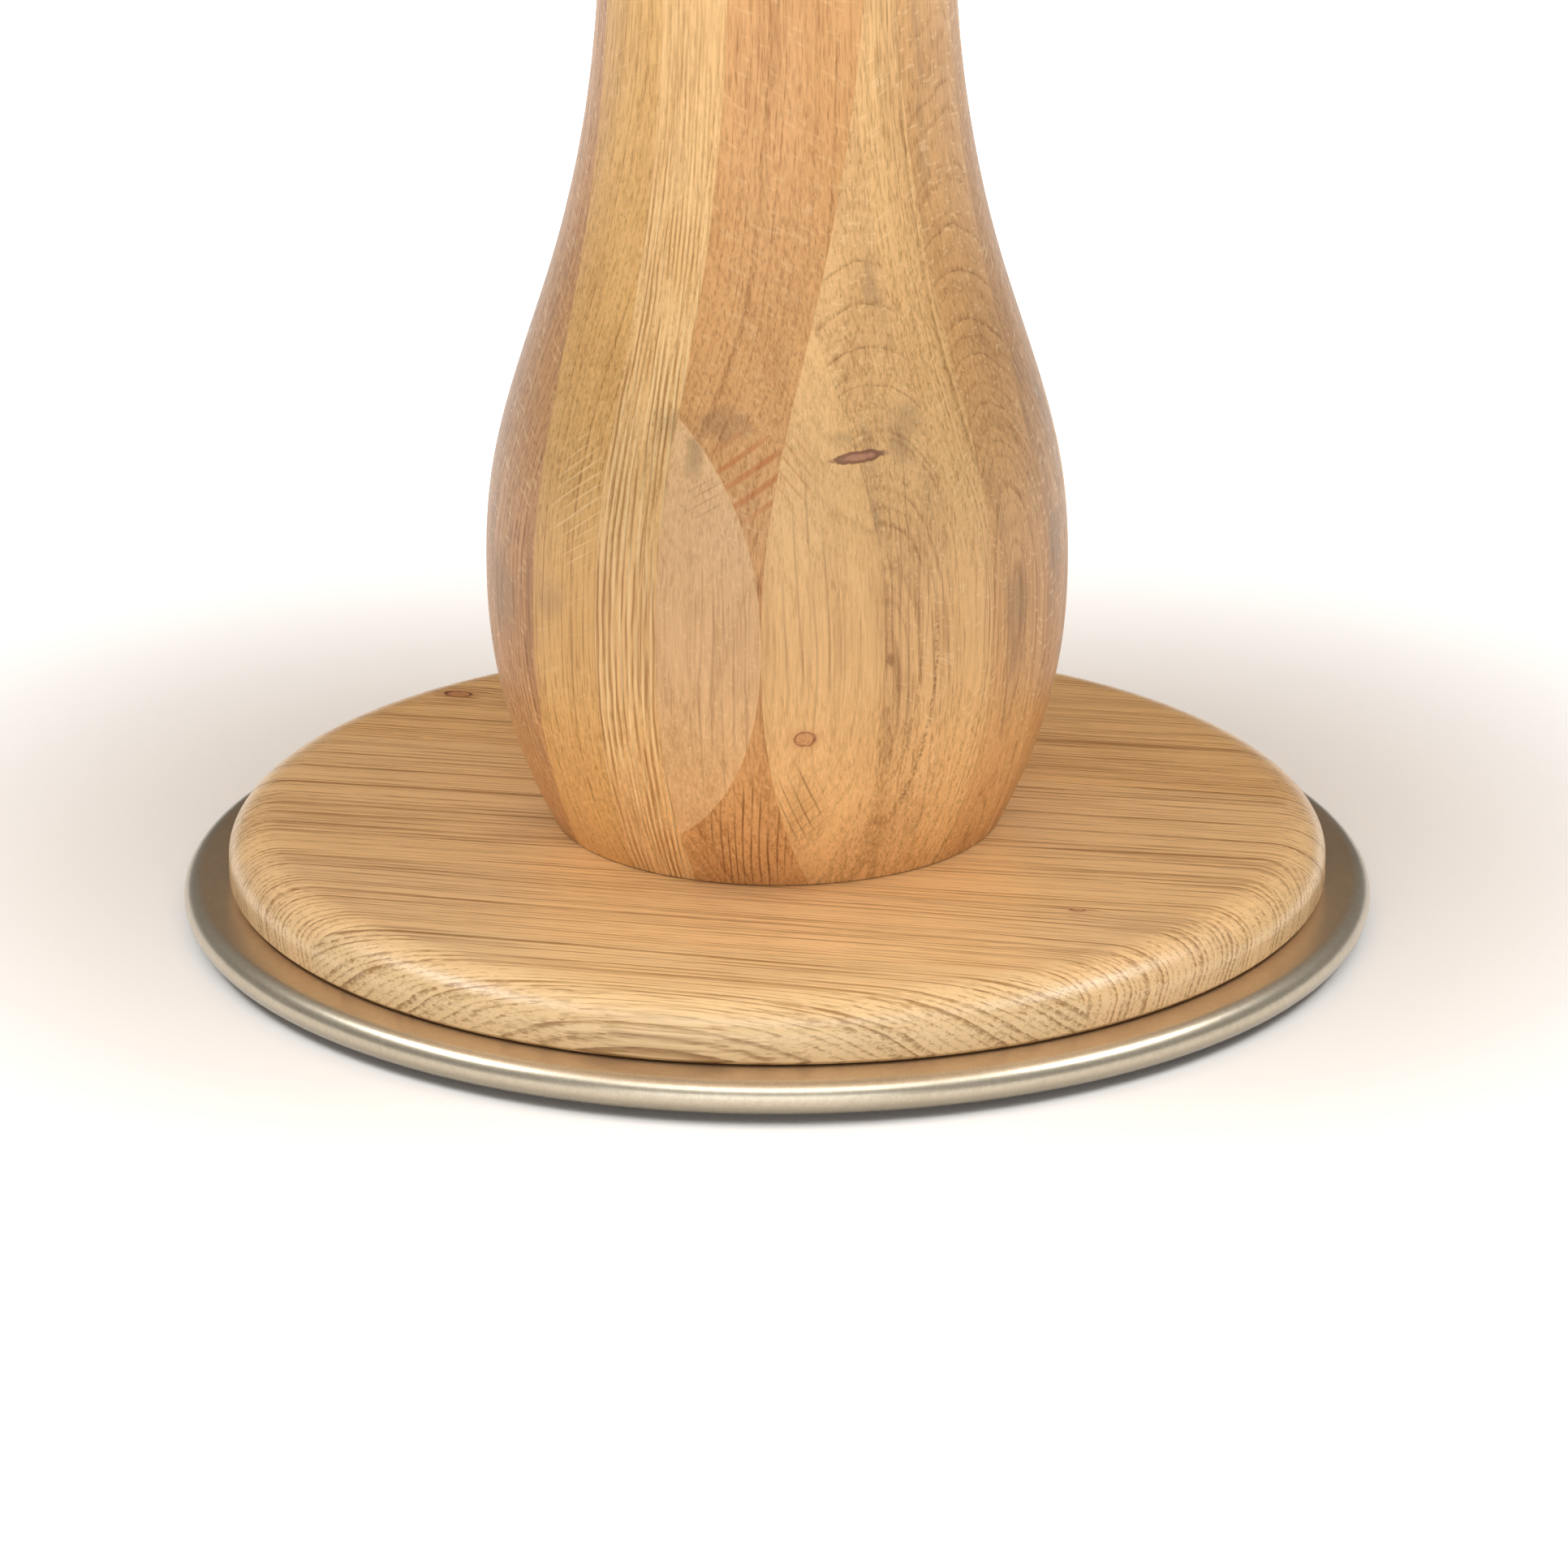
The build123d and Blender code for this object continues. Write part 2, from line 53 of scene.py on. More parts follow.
# ---------------------------------------------------------------- node helpers
class Graph:
    """Adds nodes to one node tree and wires them together."""

    def __init__(self, tree):
        self.tree = tree

    def add(self, kind, inputs=None, **settings):
        node = self.tree.nodes.new(kind)
        for name, value in settings.items():
            setattr(node, name, value)
        for key, value in (inputs or {}).items():
            self.put(node.inputs[key], value)
        return node

    def put(self, socket, value):
        if isinstance(value, bpy.types.NodeSocket):
            self.tree.links.new(value, socket)
        elif value is not None:
            socket.default_value = value

    def math(self, operation, *values, clamp=False):
        node = self.add("ShaderNodeMath", operation=operation, use_clamp=clamp)
        for socket, value in zip(node.inputs, values):
            self.put(socket, value)
        return node.outputs[0]

    def total(self, *terms):
        """Sum of (weight, socket) pairs and plain numbers."""
        result = None
        for term in terms:
            part = self.math("MULTIPLY", *term) if isinstance(term, tuple) else term
            result = part if result is None else self.math("ADD", result, part)
        return result

    def vector(self, operation, *values):
        node = self.add("ShaderNodeVectorMath", operation=operation)
        for socket, value in zip(node.inputs, values):
            self.put(socket, value)
        return node.outputs["Value" if operation in ("DOT_PRODUCT", "LENGTH") else "Vector"]

    def scale(self, vector, factor):
        node = self.add("ShaderNodeVectorMath", {"Vector": vector, "Scale": factor}, operation="SCALE")
        return node.outputs["Vector"]

    def split(self, vector):
        return self.add("ShaderNodeSeparateXYZ", {0: vector}).outputs

    def join(self, x, y, z):
        return self.add("ShaderNodeCombineXYZ", {0: x, 1: y, 2: z}).outputs[0]

    def noise(self, vector, detail=2.0, roughness=0.5, output="Fac"):
        inputs = {"Vector": vector, "Scale": 1.0, "Detail": detail, "Roughness": roughness}
        return self.add("ShaderNodeTexNoise", inputs).outputs[output]

    def smooth(self, value, low, high):
        """0 at low, 1 at high, with a smooth step between."""
        inputs = {0: value, 1: low, 2: high, 3: 0.0, 4: 1.0}
        return self.add("ShaderNodeMapRange", inputs, interpolation_type="SMOOTHSTEP").outputs[0]

    def mix(self, factor, first, second):
        node = self.add("ShaderNodeMix", data_type="RGBA")
        self.put(node.inputs["Factor"], factor)
        self.put(node.inputs["A"], first)
        self.put(node.inputs["B"], second)
        return node.outputs["Result"]

    def ramp(self, factor, stops):
        node = self.add("ShaderNodeValToRGB", {0: factor})
        elements = node.color_ramp.elements
        while len(elements) < len(stops):
            elements.new(0.5)
        for element, (position, level) in zip(elements, stops):
            element.position = position
            element.color = (level, level, level, 1.0)
        return node.outputs[0]


def srgb(red, green, blue):
    """A linear colour with alpha from 8-bit display values."""
    def linear(value):
        value /= 255.0
        return value / 12.92 if value <= 0.04045 else ((value + 0.055) / 1.055) ** 2.4
    return (linear(red), linear(green), linear(blue), 1.0)


HONEY = srgb(226, 178, 116)
PALE = srgb(244, 201, 140)
GREY_BROWN = srgb(142, 112, 82)
UMBER = srgb(150, 102, 60)
RUST = srgb(170, 104, 56)
VEIN = srgb(122, 74, 38)
FLECK = srgb(250, 218, 162)


def deepen(color):
    """The shade of the early wood and the pores in oak of the given light colour."""
    return (0.5 * color[0], 0.4 * color[1], 0.29 * color[2], 1.0)


# ---------------------------------------------------------------- oak
OAK_INPUTS = {
    "Point": ("NodeSocketVector", (0, 0, 0)),
    "Pith": ("NodeSocketVector", (0, 0, 0)),
    "Lean": ("NodeSocketVector", (0, 0, 0)),
    "Seed": ("NodeSocketVector", (0, 0, 0)),
    "Pull": ("NodeSocketFloat", 0.0),
    "Ring Width": ("NodeSocketFloat", 3.6),
    "Wave": ("NodeSocketFloat", 1.0),
    "Light": ("NodeSocketColor", HONEY),
    "Dark": ("NodeSocketColor", deepen(HONEY)),
    "Contrast": ("NodeSocketFloat", 0.5),
    "Lines": ("NodeSocketFloat", 0.5),
    "Pores": ("NodeSocketFloat", 0.5),
    "Rays": ("NodeSocketFloat", 0.3),
    "Stain": ("NodeSocketFloat", 0.2),
}


def oak_group():
    """Oak as a solid: growth rings round a pith line, pores along the grain, rays away from the pith.

    Point is in millimetres in the board's own frame: X along the grain, Y across, Z through it.
    """
    tree = bpy.data.node_groups.new("solid_oak", "ShaderNodeTree")
    for name, (kind, value) in OAK_INPUTS.items():
        socket = tree.interface.new_socket(name, in_out="INPUT", socket_type=kind)
        socket.default_value = value
    tree.interface.new_socket("Color", in_out="OUTPUT", socket_type="NodeSocketColor")
    tree.interface.new_socket("Roughness", in_out="OUTPUT", socket_type="NodeSocketFloat")
    tree.interface.new_socket("Height", in_out="OUTPUT", socket_type="NodeSocketFloat")
    g = Graph(tree)
    given = g.add("NodeGroupInput").outputs
    out = g.add("NodeGroupOutput")
    moved = g.vector("ADD", given["Point"], given["Seed"])

    def stretched(along, across):
        """The seeded point in cells of the given length and width in millimetres."""
        return g.vector("MULTIPLY", moved, (1 / along, 1 / across, 1 / across))

    def waves(along, across, amplitude):
        """A vector that wanders by up to about the amplitude, times the board's own waviness."""
        wander = g.noise(stretched(along, across), 1.0, output="Color")
        wander = g.vector("SUBTRACT", wander, (0.5, 0.5, 0.5))
        return g.scale(wander, g.math("MULTIPLY", given["Wave"], amplitude))

    # Growth rings: distance from a leaning pith line, bent by slow and quick waves
    along = g.split(given["Point"])["X"]
    place = g.vector("SUBTRACT", given["Point"], given["Pith"])
    leaning = g.scale(given["Lean"], g.split(place)["X"])
    place = g.vector("SUBTRACT", place, leaning)
    place = g.vector("ADD", place, waves(300.0, 75.0, 26.0))
    place = g.vector("ADD", place, waves(70.0, 14.0, 3.4))
    bent = g.split(place)
    radius = g.vector("LENGTH", g.join(0.0, bent["Y"], bent["Z"]))
    uneven = g.noise(g.join(g.math("DIVIDE", radius, 9.0), g.split(given["Seed"])["X"], 0.0), 2.0)
    phase = g.total((g.math("DIVIDE", 1.0, given["Ring Width"]), radius), (3.0, uneven), given["Pull"])
    ring = g.math("FRACT", phase)
    year = g.add("ShaderNodeTexWhiteNoise", {"W": g.math("FLOOR", phase)}, noise_dimensions="1D")
    year = year.outputs["Value"]
    early = g.ramp(ring, [(0.0, 0.35), (0.06, 1.0), (0.24, 0.8), (0.42, 0.2), (0.8, 0.0), (1.0, 0.35)])
    edge = g.ramp(ring, [(0.0, 0.5), (0.04, 1.0), (0.13, 0.7), (0.22, 0.0), (0.96, 0.0), (1.0, 0.5)])

    # Pores and streaks along the grain, gathered in the early wood
    fine = g.smooth(g.noise(stretched(20.0, 0.8), 1.0), 0.53, 0.66)
    hairline = g.smooth(g.noise(stretched(150.0, 1.5), 1.0), 0.54, 0.62)
    dark_streak = g.smooth(g.noise(stretched(90.0, 2.4), 2.0), 0.42, 0.66)
    light_streak = g.smooth(g.noise(stretched(80.0, 2.2), 2.0), 0.5, 0.3)
    bold = g.smooth(g.noise(stretched(130.0, 4.0), 1.0), 0.42, 0.62)
    fibre = g.noise(stretched(75.0, 1.4), 2.0, 0.6)
    grain = g.noise(stretched(16.0, 1.0), 2.0, 0.6)
    pores = g.math("MULTIPLY", fine, g.total((0.85, early), 0.15))
    line = g.math("MULTIPLY", edge, g.math("MULTIPLY", bold, g.smooth(year, 0.35, 0.85)))
    dashed = g.math("MULTIPLY", line, g.smooth(g.noise(stretched(9.0, 2.0), 1.0), 0.34, 0.56))

    # Rays: thin plates that run out from the pith, broad only where the cut follows them
    turned = g.math("MULTIPLY", g.math("ARCTAN2", bent["Z"], bent["Y"]), 26.0)
    slanted = g.total((0.5, radius), along)
    cells = ((slanted, 3.2), (turned, 1.6), (radius, 17.0))
    plate = g.join(*(g.math("DIVIDE", part, size) for part, size in cells))
    rays = g.smooth(g.noise(g.vector("ADD", plate, given["Seed"]), 1.5), 0.58, 0.7)

    # Tone: slow drifts across and along the board, a little of its own for each ring, and stains
    drift = g.noise(stretched(380.0, 20.0), 3.0)
    cloud = g.noise(stretched(110.0, 45.0), 2.0)
    stain = g.smooth(g.noise(stretched(150.0, 20.0), 3.0, 0.6), 0.54, 0.78)
    boldness = g.total((0.7, g.smooth(year, 0.2, 0.9)), 0.5)
    rings = g.math("MULTIPLY", g.math("MULTIPLY", early, boldness), g.total((0.6, dark_streak), 0.4))
    amount = g.total(
        (given["Contrast"], g.total((1.0, rings), (-0.35, light_streak), (0.15, year), -0.18)),
        (0.8, drift), (0.8, fibre), (0.6, grain), (0.4, cloud), -1.15,
        (g.total((0.5, given["Lines"]), 0.1), hairline),
    )
    amount = g.math("ADD", amount, 0.0, clamp=True)
    color = g.mix(amount, given["Light"], given["Dark"])
    color = g.mix(g.math("MULTIPLY", stain, given["Stain"]), color, GREY_BROWN)
    color = g.mix(g.math("MULTIPLY", rays, given["Rays"]), color, FLECK)
    deep = g.mix(0.3, given["Dark"], VEIN)
    color = g.mix(g.math("MULTIPLY", pores, given["Pores"]), color, deep)
    color = g.mix(g.math("MULTIPLY", dashed, given["Lines"]), color, VEIN)

    g.put(out.inputs["Color"], color)
    g.put(out.inputs["Roughness"], g.total((0.16, pores), (0.1, early), (-0.05, rays), (0.1, fibre), 0.33))
    g.put(out.inputs["Height"], g.total((0.3, fibre), (-0.6, pores), (-0.4, rings), (-0.5, dashed)))
    return tree


SOLID_OAK = oak_group()


# ---------------------------------------------------------------- marks in the wood
class Surface:
    """What the marks change: the wood's colour and its relief, and where a point lies on the face.

    u and v are millimetres on the face: round the column and up it, or along and across a board.
    """

    def __init__(self, g, u, v):
        self.g = g
        self.u = u
        self.v = v
        self.pull = 0.0
        self.color = None
        self.height = None

    def offset(self, centre, size, turn=0.0):
        """Vector from a mark's centre in units of its half size, after a turn in degrees."""
        g = self.g
        du = g.math("SUBTRACT", self.u, centre[0])
        dv = g.math("SUBTRACT", self.v, centre[1])
        cosine = math.cos(math.radians(turn))
        sine = math.sin(math.radians(turn))
        first = g.total((cosine / size[0], du), (sine / size[0], dv))
        second = g.total((-sine / size[1], du), (cosine / size[1], dv))
        return g.join(first, second, 0.0)

    def uneven(self, scale):
        """Noise from -0.5 to 0.5 over the face, with cells of the given size."""
        g = self.g
        point = g.join(g.math("DIVIDE", self.u, scale), g.math("DIVIDE", self.v, scale), 0.0)
        return g.math("SUBTRACT", g.noise(point, 3.0, 0.6), 0.5)


def soft_patch(centre, size, color=GREY_BROWN, strength=0.5, turn=0.0):
    """A soft patch of colour with a ragged edge: the stains, and the dark patches about 336 mm up the
    column.
    """
    def paint(s):
        g = s.g
        reach = g.vector("LENGTH", s.offset(centre, size, turn))
        reach = g.total(reach, (1.5, s.uneven(min(size) * 0.9)))
        mask = g.smooth(reach, 1.15, 0.25)
        s.color = g.mix(g.math("MULTIPLY", mask, strength), s.color, color)
    return None, paint


def knot(centre, size, bend=1.6, strength=0.75):
    """A small round knot that the rings flow round."""
    def shape(s):
        g = s.g
        reach = g.vector("LENGTH", s.offset(centre, (size[0] * 3.2, size[1] * 5.0)))
        near = g.math("EXPONENT", g.math("MULTIPLY", g.math("MULTIPLY", reach, reach), -1.0))
        s.pull = g.total(s.pull, (bend, near))

    def paint(s):
        g = s.g
        reach = g.total(g.vector("LENGTH", s.offset(centre, size)), (0.6, s.uneven(size[1] * 0.9)))
        halo = g.smooth(reach, 2.2, 0.9)
        s.color = g.mix(g.math("MULTIPLY", halo, 0.3 * strength), s.color, RUST)
        body = g.smooth(reach, 1.05, 0.9)
        s.color = g.mix(g.math("MULTIPLY", body, 0.6 * strength), s.color, srgb(196, 134, 90))
        rim = g.math("MULTIPLY", g.smooth(reach, 0.7, 0.88), g.smooth(reach, 1.1, 0.94))
        broken = g.total((1.6, s.uneven(size[0] * 0.9)), 0.75)
        drawn = g.math("MULTIPLY", g.math("MULTIPLY", rim, broken), strength)
        s.color = g.mix(drawn, s.color, srgb(128, 66, 46))
        grain = g.smooth(s.uneven(size[1] * 0.35), 0.02, 0.16)
        grain = g.math("MULTIPLY", body, grain)
        s.color = g.mix(g.math("MULTIPLY", grain, 0.6 * strength), s.color, srgb(134, 76, 50))
        s.height = g.total(s.height, (-0.8, rim))
    return shape, paint


def bark_mark(centre, size):
    """A flat purple-brown inclusion with a pale middle."""
    def paint(s):
        g = s.g
        reach = g.total(g.vector("LENGTH", s.offset(centre, size, 3.0)), (0.7, s.uneven(6.0)))
        body = g.smooth(reach, 1.08, 0.86)
        core = g.smooth(reach, 0.7, 0.3)
        shade = g.mix(g.math("MULTIPLY", core, 0.8), srgb(122, 76, 62), srgb(190, 136, 108))
        s.color = g.mix(g.math("MULTIPLY", body, 0.85), s.color, shade)
        s.height = g.total(s.height, (-0.9, body))
    return None, paint


def fine_lines(centre, size, spacing, turn, strength, width=0.3, color=VEIN):
    """Thin dark parallel lines, such as drying cracks, that fade out round a place."""
    def paint(s):
        g = s.g
        mask = g.smooth(g.vector("LENGTH", s.offset(centre, size)), 1.1, 0.5)
        across = g.split(s.offset(centre, (spacing, spacing * 14.0), turn))
        wander = g.noise(g.join(g.math("MULTIPLY", across["X"], 0.25), across["Y"], centre[0]), 1.0)
        step = g.total(across["X"], (1.5, wander))
        line = g.smooth(g.math("PINGPONG", step, 0.5), width, 0.06)
        lane = g.join(g.math("ROUND", step), across["Y"], 3.0)
        broken = g.smooth(g.noise(lane, 1.0), 0.36, 0.56)
        drawn = g.math("MULTIPLY", g.math("MULTIPLY", line, broken), mask)
        s.color = g.mix(g.math("MULTIPLY", drawn, strength), s.color, color)
        s.height = g.total(s.height, (-0.9 * strength, drawn))
    return None, paint


def vein(centre, size, width, strength, low=-1.1, high=0.3):
    """A dark broken line along the right-hand side of a tall ellipse, from one height of it to another."""
    def paint(s):
        g = s.g
        place = s.offset(centre, size)
        parts = g.split(place)
        away = g.math("ABSOLUTE", g.total(g.vector("LENGTH", place), (0.12, s.uneven(9.0)), -1.0))
        line = g.smooth(away, width, 0.3 * width)
        side = g.smooth(parts["X"], -0.1, 0.2)
        above = g.smooth(parts["Y"], low, low + 0.3)
        below = g.smooth(parts["Y"], high, high - 0.3)
        ends = g.math("MULTIPLY", above, below)
        dashes = g.smooth(s.uneven(2.6), -0.1, 0.1)
        drawn = g.math("MULTIPLY", g.math("MULTIPLY", line, side), g.math("MULTIPLY", ends, dashes))
        s.color = g.mix(g.math("MULTIPLY", drawn, strength), s.color, VEIN)
        s.height = g.total(s.height, (-0.9 * strength, drawn))
    return None, paint


def oak_material(name, axes, face, tone, gloss, marks, light, **values):
    """One board's oak. axes are the row-frame directions along, across and through the board."""
    material = bpy.data.materials.new(name)
    material.use_nodes = True
    g = Graph(material.node_tree)
    shader = material.node_tree.nodes["Principled BSDF"]
    where = g.add("ShaderNodeTexCoord").outputs["Object"]
    point = g.join(*(g.vector("DOT_PRODUCT", where, tuple(axis / MM)) for axis in axes))
    s = Surface(g, *face(g, where, point))
    for shape, _ in marks:
        if shape:
            shape(s)
    oak = g.add("ShaderNodeGroup", {"Point": point, "Pull": s.pull}, node_tree=SOLID_OAK)
    g.put(oak.inputs["Light"], light)
    g.put(oak.inputs["Dark"], deepen(light))
    for key, value in values.items():
        g.put(oak.inputs[key.replace("_", " ").title()], value)
    s.color = oak.outputs["Color"]
    s.height = oak.outputs["Height"]
    for _, paint in marks:
        paint(s)
    bump = g.add("ShaderNodeBump", {"Strength": 0.5, "Distance": 0.0003, "Height": s.height})
    # tone multiplies the colour by height; for the column and the disc it paints light and shade
    g.put(shader.inputs["Base Color"], g.vector("MULTIPLY", s.color, tone(g, g.split(where)["Z"])))
    g.put(shader.inputs["Roughness"], oak.outputs["Roughness"])
    g.put(shader.inputs["Normal"], bump.outputs["Normal"])
    shader.inputs["Specular IOR Level"].default_value = 0.2
    shader.inputs["Coat Weight"].default_value = gloss
    shader.inputs["Coat Roughness"].default_value = 0.31
    return material


def column_face(g, where, point):
    """Millimetres round the belly from the front, and the height."""
    row = g.split(where)
    azimuth = g.math("ARCTAN2", row["X"], g.math("MULTIPLY", row["Y"], -1.0))
    return g.math("MULTIPLY", azimuth, BELLY), g.split(point)["X"]


def board_face(g, where, point):
    """Millimetres along and across the board."""
    parts = g.split(point)
    return parts["X"], parts["Y"]


UPPER_GAINS = (0.04, 0.13, 0.24)  # red, green and blue added to the upper column's tone
TOP_TONE = 0.75


def column_painted_light_and_shade(g, height):
    """Painted light and shade by height, matched to the photo: painted shade round the belly, which the
    lamps alone leave too bright, painted light at the foot, and a paler, less yellow colour above the belly.
    """
    belly = g.math("MULTIPLY", g.smooth(height, 0.14, 0.22), g.smooth(height, 0.38, 0.26))
    foot = g.smooth(height, 0.17, 0.08)
    level = g.total((-0.12, belly), (0.12, foot), 1.03)
    upper = g.smooth(height, 0.22, 0.34)
    return g.join(*(g.total(level, (gain, upper)) for gain in UPPER_GAINS))


def disc_painted_light(g, height):
    """Painted light by height, matched to the photo: the flat top painted a little paler than the rounded
    edge.
    """
    flat = g.smooth(height, disc_top - 0.012, disc_top - 0.002)
    return g.total((0.18, flat), 0.9)


def top_tone(g, height):
    """A guessed tone, deeper than the base, that keeps the top from washing out under the lamps."""
    return (TOP_TONE, TOP_TONE, TOP_TONE)


def dress(node, material):
    """Puts a material in every slot of a CAD node."""
    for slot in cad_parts[node].material_slots:
        slot.material = material


# ---------------------------------------------------------------- the column's staves
def round_at(azimuth, height):
    """A place on the column's face: azimuth in degrees from the front, height in millimetres."""
    return (math.radians(azimuth) * BELLY, height)


def grown(azimuth, sideways, inward, height=200.0, lean_side=0.0, lean_out=0.0):
    """Pith line for a stave, placed from its face at an azimuth, and leaning as it rises."""
    outward = azimuth_direction(math.radians(azimuth))
    tangent = azimuth_direction(math.radians(azimuth + 90))
    start = outward * (BELLY - inward) + tangent * sideways
    lean = outward * lean_out + tangent * lean_side
    return dict(
        pith=(height, start.dot(BLOCK_SIDE), start.dot(BLOCK_OUT)),
        lean=(0, lean.dot(BLOCK_SIDE), lean.dot(BLOCK_OUT)),
    )


STAVE_LOOKS = {
    "column_stave_19": dict(grown(-82, 60, 50), light=srgb(202, 152, 102), ring_width=3.6, contrast=0.5,
                            lines=0.4, stain=0.6),
    "column_stave_15": dict(grown(-65, -60, 45), light=srgb(206, 154, 102), ring_width=3.8, contrast=0.75,
                            lines=0.5, pores=0.5, stain=0.6, wave=0.8),
    "column_stave_13": dict(grown(-47, 85, 12), light=srgb(226, 178, 112), ring_width=4.2, contrast=0.5,
                            lines=0.35, pores=0.4, rays=0.12, stain=0.1, wave=0.5),
    "column_stave_11": dict(grown(-29, 150, 0), light=srgb(236, 190, 128), ring_width=4.1, contrast=0.5,
                            lines=0.1, pores=0.4, rays=0.05, stain=0.0, wave=0.35),
    "column_stave_09": dict(grown(-13, -10, 60, 90, 0.0, 0.1), light=srgb(230, 186, 134), ring_width=5.0,
                            contrast=0.08, lines=0.05, pores=0.3, rays=0.2, stain=0.05, wave=0.6),
    "column_stave_08": dict(grown(-7, -60, 75), light=srgb(218, 164, 106), ring_width=4.4, contrast=0.3,
                            lines=0.3, pores=0.5, rays=0.15, stain=0.1, wave=0.6),
    "column_stave_06": dict(grown(8, 40, 90, 200, 0.0, 0.04), light=srgb(236, 190, 130), ring_width=5.4,
                            contrast=0.1, lines=0.1, pores=0.3, rays=0.1, stain=0.05, wave=0.7),
    "column_stave_05": dict(grown(21.5, 0, -10, 215, 0.0, 0.27), light=srgb(230, 184, 126), ring_width=6.2,
                            contrast=0.26, lines=0.4, pores=0.5, stain=0.45, wave=0.4),
    "column_stave_04": dict(grown(39, 70, 50), light=srgb(232, 186, 126), ring_width=4.2, contrast=0.5,
                            lines=0.45, pores=0.5, rays=0.25, stain=0.05, wave=0.6),
    "column_stave_03": dict(grown(54, 0, 4, 170, 0.0, 0.22), light=srgb(218, 168, 110), ring_width=5.6,
                            contrast=0.4, lines=0.35, pores=0.45, stain=0.45, wave=0.8),
    "column_stave_02": dict(grown(74, 50, 50), light=srgb(204, 152, 94), ring_width=3.8, contrast=0.5,
                            lines=0.3, stain=0.5),
}

# Colour of the dark soft patches about 336 mm up the column
DARK_PATCH = srgb(96, 78, 60)
PORE_ORANGE = srgb(186, 106, 50)
STAVE_MARKS = {
    "column_stave_15": [
        soft_patch(round_at(-70, 214), (26, 34), GREY_BROWN, 0.5),
        soft_patch(round_at(-57, 215), (5, 70), UMBER, 0.5),
        fine_lines(round_at(-60, 170), (26, 90), 4.6, 2.0, 0.45),
    ],
    "column_stave_13": [
        fine_lines(round_at(-44, 285), (22, 44), 6.0, 126.0, 0.5, 0.12, FLECK),
        soft_patch(round_at(-50, 226), (14, 18), GREY_BROWN, 0.25),
    ],
    "column_stave_11": [
        fine_lines(round_at(-29.0, 200), (70, 400), 3.9, 0.0, 0.7, 0.32, srgb(158, 104, 52)),
        fine_lines(round_at(-30.2, 200), (70, 400), 4.6, 0.0, 0.5, 0.26, FLECK),
        fine_lines(round_at(-26, 100), (26, 60), 3.6, 1.0, 0.5, 0.2, UMBER),
        soft_patch(round_at(-22, 336), (18, 12), DARK_PATCH, 0.28),
    ],
    "column_stave_09": [
        soft_patch(round_at(-17.6, 322), (7, 16), GREY_BROWN, 0.45),
        fine_lines(round_at(-11, 190), (22, 90), 6.0, 0.0, 0.3, 0.12),
        fine_lines(round_at(-15, 300), (12, 14), 5.0, 118.0, 0.35, 0.14, UMBER),
    ],
    "column_stave_08": [
        fine_lines(round_at(-6, 92), (34, 44), 5.2, 0.0, 0.8, 0.16),
        fine_lines(round_at(-6, 312), (30, 26), 10.5, 126.0, 0.75, 0.24, PORE_ORANGE),
        soft_patch(round_at(-12, 338), (22, 12), DARK_PATCH, 0.28),
    ],
    "column_stave_06": [
        knot(round_at(5.4, 160.2), (6.4, 4.8)),
        fine_lines(round_at(4.6, 118), (17, 30), 6.0, 22.0, 0.6, 0.09),
        fine_lines(round_at(7, 108), (14, 22), 7.0, -48.0, 0.3, 0.09),
        fine_lines(round_at(6, 235), (24, 90), 8.0, 1.0, 0.3, 0.1),
        fine_lines(round_at(3, 316), (16, 22), 7.0, 40.0, 0.4, 0.14, PORE_ORANGE),
        bark_mark(round_at(17.5, 320.7), (18.5, 3.4)),
        soft_patch(round_at(17, 331), (20, 5), GREY_BROWN, 0.35),
    ],
    "column_stave_05": [
        vein(round_at(21.5, 215), (31, 118), 0.05, 0.6),
        vein(round_at(21.0, 215), (22, 92), 0.05, 0.4, -1.1, 0.0),
        fine_lines(round_at(26, 250), (18, 90), 5.0, -1.0, 0.35, 0.12),
        bark_mark(round_at(17.5, 320.7), (18.5, 3.4)),
        soft_patch(round_at(27, 323), (10, 12), GREY_BROWN, 0.45),
        soft_patch(round_at(29, 338), (18, 12), DARK_PATCH, 0.25),
        soft_patch(round_at(19, 286), (8, 20), GREY_BROWN, 0.4),
        soft_patch(round_at(20.5, 225), (5, 36), UMBER, 0.4),
        soft_patch(round_at(22.3, 204), (4, 5), VEIN, 0.5),
    ],
    "column_stave_03": [
        soft_patch(round_at(54, 222), (16, 26), GREY_BROWN, 0.4),
        knot(round_at(54.8, 109), (4.0, 6.0), 1.2, 0.3),
    ],
    "column_stave_02": [soft_patch(round_at(72, 240), (16, 30), GREY_BROWN, 0.5)],
}


def seeded(number):
    """A far-off seed vector for one board, so that no two boards share their noise."""
    draw = random.Random(number)
    return tuple(draw.uniform(-4000, 4000) for _ in range(3))


def span(node, axis):
    """Lowest and highest place of a node along an axis, in millimetres."""
    places = [vertex.co.dot(axis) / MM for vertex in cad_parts[node].data.vertices]
    return min(places), max(places)


def plain_look(number, across, through):
    """A board that shows nothing special: nearly quarter-sawn, so its grain runs straight."""
    draw = random.Random(100 + number)
    sideways = draw.choice([-1, 1]) * draw.uniform(110, 190)
    depth = draw.choice([-1, 1]) * draw.uniform(40, 90)
    return dict(
        pith=(0, sum(across) / 2 + sideways, sum(through) / 2 + depth),
        lean=(0, draw.uniform(-0.02, 0.02), draw.uniform(-0.015, 0.015)),
        ring_width=draw.uniform(3.6, 4.8),
        wave=draw.uniform(0.25, 0.45),
        light=draw.choice([PALE, srgb(238, 193, 133), srgb(248, 209, 152)]),
        contrast=draw.uniform(1.2, 1.5),
        lines=draw.uniform(0.35, 0.55),
        pores=draw.uniform(0.4, 0.6),
        stain=draw.uniform(0.0, 0.25),
        rays=0.04,
    )


